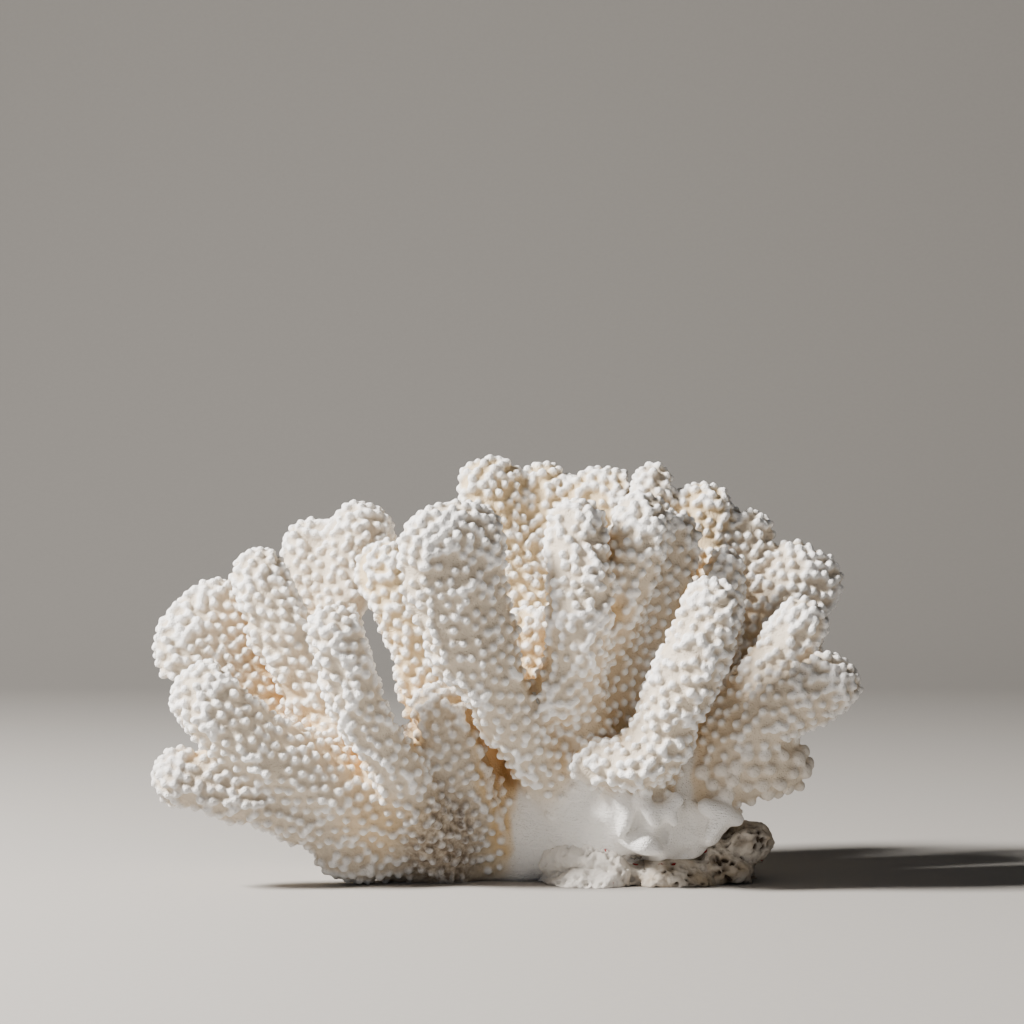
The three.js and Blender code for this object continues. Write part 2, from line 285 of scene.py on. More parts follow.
far = vector(tree, "SUBTRACT", here, blur(tree, here, 30, "FLOAT_VECTOR"))
bend = blur(tree, vector(tree, "DOT_PRODUCT", far, normal), 3)
add(tree, "NodeGroupOutput", {0: store(tree, geometry, "bend", bend)})
grow(skin, tree, Solids=solids, Rounds=10, Wave=1.6 * MM)
bend = values_of(skin.data, "bend") / MM
print("bend in mm, flat to ridge", np.percentile(bend, [50, 75, 90, 97]).round(2))

# %% [markdown]
# ## Where one piece ends
# Each face of the skin has the number of the solid that lies nearest. Taken as it is, that leaves ragged
# borders and loose flecks. So the faces vote: each piece's share spreads to the next faces a few times,
# and the strongest piece wins. What is still cut off from its piece goes to a neighbour.


# %% Find the faces next to each face
def faces_across(mesh):
    """For each four-sided face of a mesh, the faces across its four edges."""
    edges = np.zeros(len(mesh.loops), np.int32)
    mesh.loops.foreach_get("edge_index", edges)
    order = np.argsort(edges, kind="stable")
    same = np.flatnonzero(edges[order][1:] == edges[order][:-1])
    one, other = order[same], order[same + 1]
    across = np.arange(len(edges)) // 4
    across[one], across[other] = other // 4, one // 4
    return across.reshape(-1, 4)


def spread(shares, across, rounds):
    for _ in range(rounds):
        shares = (shares + shares[across].sum(axis=1)) / 5
    return shares


# %% Let the faces vote, and settle the flecks
def settle(owner, across):
    """Hand loose flecks to the pieces around them. Also tells which faces belong to no piece at all."""
    own = np.arange(len(owner))
    linked = np.where(owner[across] == owner[:, None], across, own[:, None])
    group = own
    while True:
        joined = np.minimum(group, group[linked].min(axis=1))
        joined = joined[joined]
        if (joined == group).all():
            break
        group = joined
    numbers, sizes = np.unique(group, return_counts=True)
    homes = {}
    for number, size in zip(numbers, sizes):
        homes[owner[number]] = max(homes.get(owner[number], (0, 0)), (size, number))
    loose = ~np.isin(group, [number for _, number in homes.values()])
    owner = owner.copy()
    while True:
        ready = ~loose[across]
        found = np.flatnonzero(loose & ready.any(axis=1))
        if not len(found):
            return owner, loose
        owner[found] = owner[across[found, ready[found].argmax(axis=1)]]
        loose[found] = False


across = faces_across(skin.data)
owner = values_of(skin.data, "owner", np.int32)
shares = spread(np.eye(len(nodes), dtype=np.float32)[owner], across, 10)
owner, stray = settle(shares.argmax(axis=1), across)
set_values(skin.data, "owner", owner, "INT", "FACE")
print("faces of the smallest piece", np.bincount(owner)[np.unique(owner)].min(), "stray", stray.sum())

# %% [markdown]
# Some looks belong to whole pieces but fade at their borders, so they are shares too. The inner pieces
# get a creamier skin as painted shade, the old stem is stained and painted darker as shade, and the lobe
# under the right side has wide, low knobs.

# %% Give the skin its fading shares
# Painted shade: these inner and back pieces get a creamier skin, as they stand deep among the branches.
CREAM = (
    "slit_branch saddle_lobe top_back_fan right_thin_blade back_left_wing back_right_wing back_low_lobe"
).split()
SHARES = {
    "stain": {"left_stem": 1.0, "left_floor_branch": 0.35, "stub_finger": 0.4},
    "wide": {"right_under_lobe": 1.0, "right_low_finger": 0.2},
    "cream": dict.fromkeys(CREAM, 1.0),
}
shares = spread(np.eye(len(nodes), dtype=np.float32)[owner], across, 30)
for name, pieces in SHARES.items():
    total = sum(share * shares[:, nodes.index(piece)] for piece, share in pieces.items())
    set_values(skin.data, name, total, domain="FACE")

# %% [markdown]
# Between two branches on the left one looks right through the coral, along a slit that widens in its
# middle. The solids stand a little too close for it once they are swollen and knobby. So what is left of
# the slit moves left and what is right of it moves right, and it fades out over a few millimetres.
# The right front finger leans over a little too, so that the thin blade behind it shows.

# %% Open the slit
EYE = np.array([3.0, -1207.7, 125.0]) * MM
SLIT = np.array([  # height, left rim and right rim in mm, as seen from the eye in the plane y = 0
    (46.6, -32.1, -32.1), (48.7, -33.4, -31.0), (53.5, -36.3, -33.3), (57.6, -38.4, -35.4),
    (65.5, -40.9, -38.0), (71.3, -43.3, -38.2), (77.1, -45.1, -37.0), (83.6, -46.7, -42.2),
    (89.1, -48.0, -45.6), (92.8, -49.0, -47.0), (95.6, -49.7, -49.7),
]) * MM
SLIT_SIDES = {"left": ("front_left_finger", "left_back_fan"), "right": ("slit_branch", "stub_finger")}
KNOB_ROOM, SLIT_FADE = -1.2 * MM, 8 * MM
FINGER_LEAN = 2.6 * MM


def held_back(past):
    """Keep a distance past a wall below zero, with a soft start in front of the wall."""
    return np.where(past > -SLIT_FADE, -SLIT_FADE * np.exp(-(past + SLIT_FADE) / SLIT_FADE), past)


def share_on_points(names):
    """How much of each point belongs to the named pieces."""
    share = sum(shares[:, nodes.index(piece)] for piece in names)
    return np.bincount(corners, np.repeat(share, 4)) / np.bincount(corners)


points = points_of(skin.data).astype(float)
corners = np.zeros(len(skin.data.loops), np.int32)
skin.data.loops.foreach_get("vertex_index", corners)
beside = {side: share_on_points(names) for side, names in SLIT_SIDES.items()}
zoom = -EYE[1] / (points[:, 1] - EYE[1])
seen = EYE + (points - EYE) * zoom[:, None]
left_wall = np.interp(seen[:, 2], SLIT[:, 0], SLIT[:, 1]) - KNOB_ROOM
right_wall = np.interp(seen[:, 2], SLIT[:, 0], SLIT[:, 2]) + KNOB_ROOM
left_move = held_back(seen[:, 0] - left_wall) - (seen[:, 0] - left_wall)
right_move = (right_wall - seen[:, 0]) - held_back(right_wall - seen[:, 0])
inside = np.interp(seen[:, 2] / MM, (43, 49, 91, 97), (0, 1, 1, 0))
move = inside * (beside["left"] * left_move + beside["right"] * right_move) / zoom
points[:, 0] += move
finger = share_on_points(["right_front_finger"])
points[:, 0] += finger * np.interp(points[:, 2] / MM, (45, 60), (0, 1)) * FINGER_LEAN
skin.data.vertices.foreach_set("co", points.astype(np.float32).ravel())
print("moves in mm, from and to", (move.min() / MM).round(1), (move.max() / MM).round(1))

# %% [markdown]
# In the crooks the skeleton is a golden cream: partly dust and old tissue, which stay where no rain or
# brush gets in, and partly painted shade and a painted warm glow of light through the lime. So the skin
# measures how open it lies: it sends rays out from each point, and the further they get before they
# meet the coral again, the more open the point is.

# %% Measure how open the skin lies
RAYS, RAY_RANGE = 28, 45 * MM
sizes = {"Rays": ("NodeSocketInt", RAYS), "Range": ("NodeSocketFloat", RAY_RANGE)}
tree, inputs = geometry_tree("openness", sizes)
begin = add(tree, "GeometryNodeRepeatInput")
end = add(tree, "GeometryNodeRepeatOutput")
begin.pair_with_output(end)
tree.links.new(inputs["Rays"], begin.inputs["Iterations"])
tree.links.new(store(tree, inputs["Geometry"], "open", 0.0), begin.inputs["Geometry"])
normal = add(tree, "GeometryNodeInputNormal").outputs[0]
here = add(tree, "GeometryNodeInputPosition").outputs[0]
sockets = {0: (-1.0, -1.0, -1.0), 1: (1.0, 1.0, 1.0), "Seed": begin.outputs["Iteration"]}
chance = add(tree, "FunctionNodeRandomValue", sockets, data_type="FLOAT_VECTOR").outputs[0]
ray = vector(tree, "ADD", normal, vector(tree, "NORMALIZE", chance))
sockets = {
    "Target Geometry": inputs["Geometry"],
    "Source Position": vector(tree, "ADD", here, vector(tree, "SCALE", normal, 0.8 * MM)),
    "Ray Direction": ray,
    "Ray Length": inputs["Range"],
}
cast = add(tree, "GeometryNodeRaycast", sockets)
free = calc(tree, "DIVIDE", cast.outputs["Hit Distance"], inputs["Range"])
sockets = {"Switch": cast.outputs["Is Hit"], "False": 1.0, "True": free}
free = add(tree, "GeometryNodeSwitch", sockets, input_type="FLOAT").outputs[0]
total = calc(tree, "ADD", read(tree, "open"), free)
tree.links.new(store(tree, begin.outputs["Geometry"], "open", total), end.inputs["Geometry"])
mean = blur(tree, calc(tree, "DIVIDE", read(tree, "open"), inputs["Rays"]), 3)
add(tree, "NodeGroupOutput", {0: store(tree, end.outputs["Geometry"], "open", mean)})
grow(skin, tree, Rays=RAYS, Range=RAY_RANGE)
print("openness", np.percentile(values_of(skin.data, "open"), [5, 25, 50, 75, 95]).round(2))

# %% [markdown]
# Two patches don't follow a piece or the openness: the foot on the left, where the colony stood in the
# silt and is grey-brown, with painted shade laid over that stain, and the low side of the ridge, which is
# painted golden as the warm shade that lies on it.

# %% Stain the foot and paint shade on it, and paint the low ridge golden as warm shade
PATCHES = {"stain": ((-20, -27, 12), (19, 26, 30)), "open": ((-42, -24, 24), (22, 26, 16))}
for mark_name, (middle, radii) in PATCHES.items():
    far = np.linalg.norm((points_of(skin.data) / MM - middle) / radii, axis=1)
    patch = np.interp(far, (0.45, 1.15), (1.0, 0.0))
    if mark_name == "stain":
        faces = patch[corners].reshape(-1, 4).mean(axis=1)
        set_values(skin.data, "stain", np.maximum(values_of(skin.data, "stain"), faces), domain="FACE")
    else:
        # Painted warm shade: the low side of the ridge counts as less open, so it turns golden.
        set_values(skin.data, "open", values_of(skin.data, "open") - 0.4 * patch)

# %% [markdown]
# ## The verrucae
# The knobs are about 3 mm wide. On the flat sides of a branch they stand apart. On its rim and tip they
# are fatter and crowd together, like the curds of a cauliflower. All lean a little towards the tip. They
# could be instanced on hand-painted areas. Here Geometry Nodes scatter them by the bend and the reach,
# and leave the closed crooks and the bare stem nearly free of them.

# %% A blunt knob to scatter
lime = bpy.data.materials.new("bare_lime")
tree, inputs = geometry_tree(
    "verrucae",
    {
        "Side Gap": ("NodeSocketFloat", 3.5 * MM),
        "Rim Gap": ("NodeSocketFloat", 2.95 * MM),
        "Wide Gap": ("NodeSocketFloat", 5.2 * MM),
        "Lean": ("NodeSocketFloat", 0.7),
        "Seed": ("NodeSocketInt", 7),
        "Drops": ("NodeSocketObject", None),
        "Coral": ("NodeSocketMaterial", lime),
    },
)
here = add(tree, "GeometryNodeInputPosition").outputs[0]
ball = add(tree, "GeometryNodeMeshIcoSphere", {"Radius": 1.0, "Subdivisions": 2}).outputs[0]
height = add(tree, "ShaderNodeSeparateXYZ", {0: here}).outputs["Z"]
upper = add(tree, "FunctionNodeCompare", {0: height, 1: 0.05}, operation="GREATER_THAN").outputs[0]
sockets = {"Geometry": ball, "Selection": upper, "Offset": (0.0, 0.0, 1.0)}
knob = add(tree, "GeometryNodeSetPosition", sockets).outputs[0]

# %% Where the knobs crowd
reach = read(tree, "reach")
rim = span(tree, read(tree, "bend"), 0.45 * MM, 1.0 * MM)
crowd = calc(tree, "MAXIMUM", rim, span(tree, reach, 0.8, 0.95))
aired = span(tree, read(tree, "open"), 0.3, 0.5, 0.1, 1.0)
rough = calc(tree, "MULTIPLY", span(tree, reach, 0.02, 0.16), aired)
is_rim = calc(tree, "GREATER_THAN", crowd, 0.5)
is_wide = calc(tree, "GREATER_THAN", read(tree, "wide"), 0.5)
not_wide = calc(tree, "SUBTRACT", 1.0, is_wide)
areas = {
    "Side Gap": calc(tree, "MULTIPLY", calc(tree, "SUBTRACT", 1.0, is_rim), not_wide),
    "Rim Gap": calc(tree, "MULTIPLY", is_rim, not_wide),
    "Wide Gap": is_wide,
}
knob_sizes = {  # the radius, and half the height, each from and to, in mm
    "Side Gap": (1.25, 1.6, 0.95, 1.3),
    "Rim Gap": (1.45, 1.75, 1.05, 1.35),
    "Wide Gap": (1.9, 3.0, 1.1, 1.7),
}

# %% Scatter the knobs and fuse them
join = add(tree, "GeometryNodeJoinGeometry")
for gap, area in areas.items():
    sockets = {
        "Mesh": inputs["Geometry"],
        "Selection": area,
        "Distance Min": inputs[gap],
        "Density Max": 8.0e5,
        "Density Factor": rough,
        "Seed": inputs["Seed"],
    }
    spots = add(tree, "GeometryNodeDistributePointsOnFaces", sockets, distribute_method="POISSON")
    away = vector(tree, "NORMALIZE", vector(tree, "SUBTRACT", here, tuple(HEART)))
    aim = vector(tree, "ADD", spots.outputs["Normal"], vector(tree, "SCALE", away, inputs["Lean"]))
    points = store(tree, spots.outputs["Points"], "aim", aim, "FLOAT_VECTOR")
    aim = read(tree, "aim", "FLOAT_VECTOR")
    turn = add(tree, "FunctionNodeAlignRotationToVector", {"Vector": aim}, axis="Z")
    thin, fat, low, high = (size * MM for size in knob_sizes[gap])
    fat = add(tree, "FunctionNodeRandomValue", {2: thin, 3: fat, "Seed": 3}).outputs[1]
    high = add(tree, "FunctionNodeRandomValue", {2: low, 3: high, "Seed": 5}).outputs[1]
    scale = add(tree, "ShaderNodeCombineXYZ", {0: fat, 1: fat, 2: high}).outputs[0]
    sockets = {"Points": points, "Instance": knob, "Rotation": turn.outputs[0], "Scale": scale}
    tree.links.new(add(tree, "GeometryNodeInstanceOnPoints", sockets).outputs[0], join.inputs[0])
real = add(tree, "GeometryNodeRealizeInstances", {0: join.outputs[0]}).outputs[0]
drops = add(tree, "GeometryNodeObjectInfo", {"Object": inputs["Drops"]}).outputs["Geometry"]
both = add(tree, "GeometryNodeJoinGeometry")
for part in (drops, real, inputs["Geometry"]):
    tree.links.new(part, both.inputs[0])
sockets = {"Geometry": both.outputs[0], "Material": inputs["Coral"]}
add(tree, "NodeGroupOutput", {0: add(tree, "GeometryNodeSetMaterial", sockets).outputs[0]})


# %% [markdown]
# The front of the stem is bare, but for a few smooth drops and toes where the coral grew down over its
# rock. Each is a chain of balls along a bent line, because that melts into the skin when all is fused.
# A spiny ridge runs down the crook between the two stems: many small balls along one line. Its gold is
# painted later, as painted warm light on that rim.

# %% The drops of the stem
STEM_DROPS = [
    ([(31, -31, 31.5), (35.5, -36, 31.5), (39.5, -39.5, 29.5), (41.5, -41, 26)], (2.6, 3.4, 3.8, 3.2)),
    ([(41.5, -41, 26), (40.3, -41, 21.5), (38.8, -39.5, 18)], (3.0, 2.4, 1.5)),
    ([(45.5, -42.5, 30.5), (48, -44.5, 27), (50.3, -43.5, 22.5)], (2.9, 2.9, 2.2)),
    ([(50, -43, 26.5), (54, -42.5, 26.5), (57.5, -41, 30)], (2.4, 2.8, 2.8)),
    ([(55, -42.5, 26), (56.5, -42, 22.5)], (2.5, 1.9)),
    ([(42, -35.5, 16), (47, -38.5, 15), (52, -37.5, 13)], (3.2, 4.2, 2.0)),
    ([(67.5, -35.5, 27), (73, -35.5, 25), (78, -31, 22.5)], (3.2, 3.6, 2.8)),
    ([(71.5, -36, 22.5), (68, -36, 16.5)], (3.0, 2.0)),
]
RIDGE = [(-6.5, -27.5, 39), (-5, -22.5, 32), (-3, -16.5, 24.5), (-0.8, -15, 18), (1.2, -14, 12.5)]


def add_ball(bm, place, radius, subdivisions=2):
    ball = bmesh.ops.create_icosphere(bm, subdivisions=subdivisions, radius=radius)
    bmesh.ops.translate(bm, verts=ball["verts"], vec=place)


bm = bmesh.new()
for line, radii in STEM_DROPS:
    for k in range(len(line) - 1):
        here, there = Vector(line[k]) * MM, Vector(line[k + 1]) * MM
        steps = max(2, round((there - here).length / MM))
        for step in range(steps + 1):
            share = step / steps
            size = (radii[k] + share * (radii[k + 1] - radii[k])) * MM
            add_ball(bm, here.lerp(there, share), size)
spots = np.linspace(0, len(RIDGE) - 1, 36)
spots = np.stack([np.interp(spots, range(len(RIDGE)), axis) for axis in np.array(RIDGE).T], axis=1)
chance = np.random.default_rng(4)
for spot in spots:
    for spread_out, radius in ((0.2, 1.7), (0.9, 1.2), (0.9, 1.2)):
        add_ball(bm, Vector(spot + chance.normal(0, spread_out, 3)) * MM, radius * MM)
mesh = bpy.data.meshes.new("drops")
bm.to_mesh(mesh)
bm.free()
drops = object_from("drops", mesh)
print("faces of the drops", len(mesh.polygons))

# %% Fuse the skin, its knobs and its drops
FINE_VOXEL = 0.65 * MM
coral = object_from("coral", skin.data.copy())
grow(coral, tree, Drops=drops)
print("knobs", (len(coral.data.vertices) - len(skin.data.vertices) - len(drops.data.vertices)) // 42)
fuse(coral, FINE_VOXEL)
print("faces of the coral", len(coral.data.polygons))

# %% [markdown]
# Between the drops the stem is hollow: the coral stopped growing there and its edge curls over. A hollow
# could be cut with a boolean. Here points are pushed back inside a few long balls, because that keeps the
# mesh whole. Each line is the middle, the radii and the depth in mm.

# %% Sink the few hollows, and keep all above the floor
HOLLOWS = [
    ((46, -33, 8.5), (7.0, 13, 3.2), 14.0),
    ((44.6, -38, 25), (2.4, 8, 6.0), 4.5),
    ((54, -39, 17.5), (3.0, 9, 4.5), 9.0),
    ((62.5, -37, 20), (4.6, 9, 7.5), 9.0),
    ((37, -37, 15.6), (3.6, 5, 1.5), 2.5),
    ((71, -27, 8.5), (2.4, 6, 2.2), 6.0),
    ((61, -28, 10), (3.4, 6, 2.4), 5.0),
]


def sink(tree, geometry, hollows):
    """Push the skin back, away from the viewer, inside a few long balls."""
    here = add(tree, "GeometryNodeInputPosition").outputs[0]
    for middle, radii, depth in hollows:
        away = vector(tree, "SUBTRACT", here, tuple(c * MM for c in middle))
        away = vector(tree, "LENGTH", vector(tree, "DIVIDE", away, tuple(c * MM for c in radii)))
        push = calc(tree, "MAXIMUM", calc(tree, "SUBTRACT", 1.0, calc(tree, "MULTIPLY", away, away)), 0.0)
        back = add(tree, "ShaderNodeCombineXYZ", {1: calc(tree, "MULTIPLY", push, depth * MM)}).outputs[0]
        geometry = add(tree, "GeometryNodeSetPosition", {"Geometry": geometry, "Offset": back}).outputs[0]
    return geometry


def above_floor(tree, geometry):
    here = add(tree, "GeometryNodeInputPosition").outputs[0]
    parts = add(tree, "ShaderNodeSeparateXYZ", {0: here}).outputs
    above = calc(tree, "MAXIMUM", parts[2], 0.0)
    place = add(tree, "ShaderNodeCombineXYZ", {0: parts[0], 1: parts[1], 2: above}).outputs[0]
    return add(tree, "GeometryNodeSetPosition", {"Geometry": geometry, "Position": place}).outputs[0]


# %% [markdown]
# The remesh forgets the attributes, so each point of the finished coral looks up its place on the bare
# skin. It also keeps its rise, which is its height above that skin: tips are whiter than the hollows,
# partly their own tone and partly painted light, with painted shade between the knobs.

# %% Give the finished coral its attributes
sizes = {"Skin": "NodeSocketObject", "Rounds": "NodeSocketInt"}
tree, inputs = geometry_tree("skin_marks", {name: (kind, None) for name, kind in sizes.items()})
here = add(tree, "GeometryNodeInputPosition").outputs[0]
source = add(tree, "GeometryNodeObjectInfo", {"Object": inputs["Skin"]}).outputs["Geometry"]
bare = span(tree, nearest(tree, source, read(tree, "reach"), here), 0.0, 0.05, 0.8, 0.0)
sockets = {"Value": here, "Iterations": 9, "Weight": bare}
soft = add(tree, "GeometryNodeBlurAttribute", sockets, data_type="FLOAT_VECTOR").outputs[0]
geometry = sink(tree, inputs["Geometry"], HOLLOWS)
geometry = add(tree, "GeometryNodeSetPosition", {"Geometry": geometry, "Position": soft}).outputs[0]
soft = blur(tree, here, inputs["Rounds"], "FLOAT_VECTOR")
geometry = add(tree, "GeometryNodeSetPosition", {"Geometry": geometry, "Position": soft}).outputs[0]
geometry = above_floor(tree, geometry)
for name in ("reach", "open", "stain", "wide", "cream"):
    geometry = store(tree, geometry, name, nearest(tree, source, read(tree, name), here))
owner = nearest(tree, source, read(tree, "owner", "INT"), here, "INT")
geometry = store(tree, geometry, "owner", owner, "INT", "FACE")
sockets = {"Geometry": source, "Sample Position": here}
far = add(tree, "GeometryNodeProximity", sockets, target_element="FACES").outputs["Distance"]
rise = calc(tree, "MULTIPLY", far, span(tree, read(tree, "reach"), 0.02, 0.1, 1 / MM * 0.3, 1 / MM))
geometry = store(tree, geometry, "rise", rise)
add(tree, "NodeGroupOutput", {0: geometry})
grow(coral, tree, Skin=skin, Rounds=1)
rise = values_of(coral.data, "rise")
print("rise in mm", np.percentile(rise, [50, 90, 99]).round(2), "lowest", points_of(coral.data)[:, 2].min())

# %% [markdown]
# ## Cut the coral at its forks
# The whole coral was grown as one, and now it becomes its pieces again. A boolean could do that, but it
# is slow on so fine a mesh. Here each piece takes its own faces. Its open end is turned inwards by a lip
# 3 mm deep, and a fan of triangles to the middle closes it. Lip and fan lie inside the coral, so they
# never show, but they make every piece a closed solid of its own. Each point keeps the way it faced on
# the whole coral, so that no line is seen where two pieces meet.


# %% Cut out one piece and close it
LIP = 3 * MM
MARKS = ("reach", "open", "stain", "wide", "cream", "rise")
whole = {name: values_of(coral.data, name) for name in MARKS}
whole["points"] = points_of(coral.data)
# Painted warm light: points near the spiny ridge count as less open, so they turn golden.
for spot in spots * MM:
    far = np.linalg.norm(whole["points"] - spot.astype(np.float32), axis=1)
    whole["open"] = np.minimum(whole["open"], np.interp(far, (3 * MM, 7 * MM), (0.5, 1.0)))
whole["normals"] = np.zeros(whole["points"].size, np.float32)
coral.data.vertex_normals.foreach_get("vector", whole["normals"])
whole["normals"] = whole["normals"].reshape(-1, 3)
whole["quads"] = np.zeros(len(coral.data.loops), np.int32)
coral.data.loops.foreach_get("vertex_index", whole["quads"])
whole["quads"] = whole["quads"].reshape(-1, 4)


def rings_of(starts, ends):
    """Order the open edges, each from a start to an end, into closed rings of points."""
    after = {}
    for start, end in zip(starts.tolist(), ends.tolist()):
        after.setdefault(start, []).append(end)
    rings = []
    while after:
        first = next(iter(after))
        ring, here = [], first
        while here in after:
            ring.append(here)
            onward = after[here].pop()
            if not after[here]:
                del after[here]
            here = onward
        rings.append(ring)
    return rings


def along_ring(values, rounds):
    for _ in range(rounds):
        values = (values + np.roll(values, 1, axis=0) + np.roll(values, -1, axis=0)) / 3
    return values


def cut_piece(name, mine):
    """A new mesh of the faces that are mine, with its open ends closed."""
    quads = whole["quads"][mine]
    used, quads = np.unique(quads, return_inverse=True)
    quads = quads.reshape(-1, 4)
    starts, ends = quads.ravel().astype(int), np.roll(quads, -1, axis=1).ravel().astype(int)
    key, back = starts * len(used) + ends, ends * len(used) + starts
    open_edge = ~np.isin(key, back)
    points, normals = whole["points"][used], whole["normals"][used]
    added, caps, first = [], [], len(points)
    marks = {mark: [whole[mark][used]] for mark in MARKS}
    for ring in rings_of(ends[open_edge], starts[open_edge]):
        lip = along_ring(points[ring], 2) - LIP * along_ring(normals[ring], 4)
        inner = first + np.arange(len(ring))
        for k in range(len(ring)):
            caps.append((ring[k - 1], ring[k], inner[k], inner[k - 1]))
            caps.append((inner[k - 1], inner[k], first + len(ring)))
        added += [lip, lip.mean(axis=0, keepdims=True)]
        for mark, values in marks.items():
            values += [values[0][ring], values[0][ring].mean(keepdims=True)]
        first += len(ring) + 1
    mesh = bpy.data.meshes.new(name)
    mesh.from_pydata(np.concatenate([points, *added]).tolist(), [], quads.tolist() + caps)
    extra = len(mesh.vertices) - len(points)
    mesh.polygons.foreach_set("use_smooth", [True] * len(mesh.polygons))
    normals = np.concatenate([normals, np.tile((0, 0, 1), (extra, 1))])
    mesh.normals_split_custom_set_from_vertices(normals.tolist())
    for mark, values in marks.items():
        set_values(mesh, mark, np.concatenate(values))
    return mesh, len(caps)


def open_edges(mesh):
    """How many edges of a mesh don't have exactly two faces."""
    found = np.zeros(len(mesh.loops), np.int32)
    mesh.loops.foreach_get("edge_index", found)
    return int((np.bincount(found, minlength=len(mesh.edges)) != 2).sum())


# %% Make the pieces
across = faces_across(coral.data)
owner, stray = settle(values_of(coral.data, "owner", np.int32), across)
owner[stray] = -1
pieces, faults, total = {}, 0, 0
for number, name in enumerate(nodes):
    if name == ROCK_PIECE:
        continue
    mesh, fans = cut_piece(name + "_skin", owner == number)
    pieces[name] = object_from(name + "_skin", mesh)
    faults += open_edges(mesh)
    total += len(triangles_of(mesh))
print("pieces", len(pieces), "triangles", total, "open edges", faults, "stray", stray.sum())

# %% [markdown]
# ## The reef rock
# The coral grew on a lump of old reef: limestone full of worm holes, with a broken edge. It could be a
# displaced ball. Here its solid is fused at a finer grain, then pushed in and out by noise of two sizes,
# and a cell pattern sinks the worm holes in it. On the left a rough white crust climbs up over the stem,
# and balls along a line are fused in for it.

# %% Make the rock rough and full of holes
ROCK_VOXEL = 0.55 * MM
sizes = {"Lump": 9.0, "Hole": 2.6, "Grain": 1.3}
sizes = {name: ("NodeSocketFloat", size * MM) for name, size in sizes.items()}
tree, inputs = geometry_tree("rough_rock", sizes)
here = add(tree, "GeometryNodeInputPosition").outputs[0]
normal = blur(tree, add(tree, "GeometryNodeInputNormal").outputs[0], 4, "FLOAT_VECTOR")


def bumps(tree, kind, place, size, **settings):
    """A pattern whose features have a real size, centred on zero."""
    node = add(tree, kind, {"Vector": place, "Scale": calc(tree, "DIVIDE", 1.0, size)}, **settings)
    return calc(tree, "SUBTRACT", node.outputs[0], 0.5)


lump = calc(tree, "MULTIPLY", bumps(tree, "ShaderNodeTexNoise", here, inputs["Lump"]), 6.0 * MM)
grain = calc(tree, "MULTIPLY", bumps(tree, "ShaderNodeTexNoise", here, inputs["Grain"]), 1.3 * MM)
bent = add(tree, "ShaderNodeTexNoise", {"Vector": here, "Scale": 1 / (4 * MM)}).outputs["Color"]
bent = vector(tree, "ADD", here, vector(tree, "SCALE", bent, 3 * MM))
cell = bumps(tree, "ShaderNodeTexVoronoi", bent, inputs["Hole"])
hole = span(tree, cell, -0.3, -0.02, -2.0 * MM, 0.0)
patch = add(tree, "ShaderNodeTexNoise", {"Vector": here, "Scale": 1 / (7 * MM)}).outputs[0]
hole = calc(tree, "MULTIPLY", hole, span(tree, patch, 0.36, 0.5))
out = calc(tree, "ADD", calc(tree, "ADD", lump, grain), hole)
geometry = store(tree, inputs["Geometry"], "rise", calc(tree, "DIVIDE", out, MM))
shift = vector(tree, "SCALE", normal, out)
geometry = add(tree, "GeometryNodeSetPosition", {"Geometry": geometry, "Offset": shift}).outputs[0]
geometry = above_floor(tree, sink(tree, geometry, HOLLOWS))
add(tree, "NodeGroupOutput", {0: geometry})

CRUST = [(17.5, -17, 7), (20, -20, 9.5), (24, -23, 10), (29, -25, 9.5), (34, -26, 8.5), (38.5, -27, 5)]
CRUST_RADIUS = 5.5 * MM
bm = bmesh.new()
bm.from_mesh(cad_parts[ROCK_PIECE].data)
for place in CRUST:
    add_ball(bm, Vector(place) * MM, CRUST_RADIUS, subdivisions=3)
mesh = bpy.data.meshes.new("reef_rock_skin")
bm.to_mesh(mesh)
bm.free()
rock = object_from("reef_rock_skin", mesh)
fuse(rock, ROCK_VOXEL)
grow(rock, tree)
rock.data.polygons.foreach_set("use_smooth", [True] * len(rock.data.polygons))
pieces[ROCK_PIECE] = rock
print("faces of the rock", len(rock.data.polygons), "open edges", open_edges(rock.data))

# %% [markdown]
# ## Colours and patterns of the materials
# Each colour is given as it looks on a screen and turned to the linear value that the renderer needs.


# %% Turn a screen colour to a linear one
def linear(code):
    parts = [int(code[k : k + 2], 16) / 255 for k in (0, 2, 4)]
    return tuple(p / 12.92 if p <= 0.04045 else ((p + 0.055) / 1.055) ** 2.4 for p in parts) + (1.0,)


def material_tree(name):
    made = bpy.data.materials.new(name)
    made.use_nodes = True
    made.node_tree.nodes.clear()
    return made, made.node_tree


def show(tree, sockets):
    """End a material's tree with its shader."""
    shader = add(tree, "ShaderNodeBsdfPrincipled", sockets)
    add(tree, "ShaderNodeOutputMaterial", {0: shader.outputs[0]})


def mark(tree, name):
    return add(tree, "ShaderNodeAttribute", attribute_name=name).outputs["Fac"]


def pattern(tree, kind, place, size, **sockets):
    """A pattern whose features have a real size."""
    return add(tree, kind, {"Vector": place, "Scale": 1 / size, **sockets}).outputs[0]


def mix(tree, share, one, other):
    sockets = {0: share, 6: one, 7: other}
    return add(tree, "ShaderNodeMix", sockets, data_type="RGBA").outputs[2]


# %% [markdown]
# ## Bleached coral skeleton
# The skeleton is aragonite, a lime as white as chalk, grown rather than shaped, and full of pores under
# a millimetre wide. It has no gloss, and light sinks a little way into it, which makes thin rims and
# hollows glow; here that glow is painted into the colour. The knobs are whitest at their tips, partly
# their own tone and partly painted light. Between them it is cream, darkened with painted shade, and
# deep in the crooks it is a golden tan, partly dust and partly painted shade.

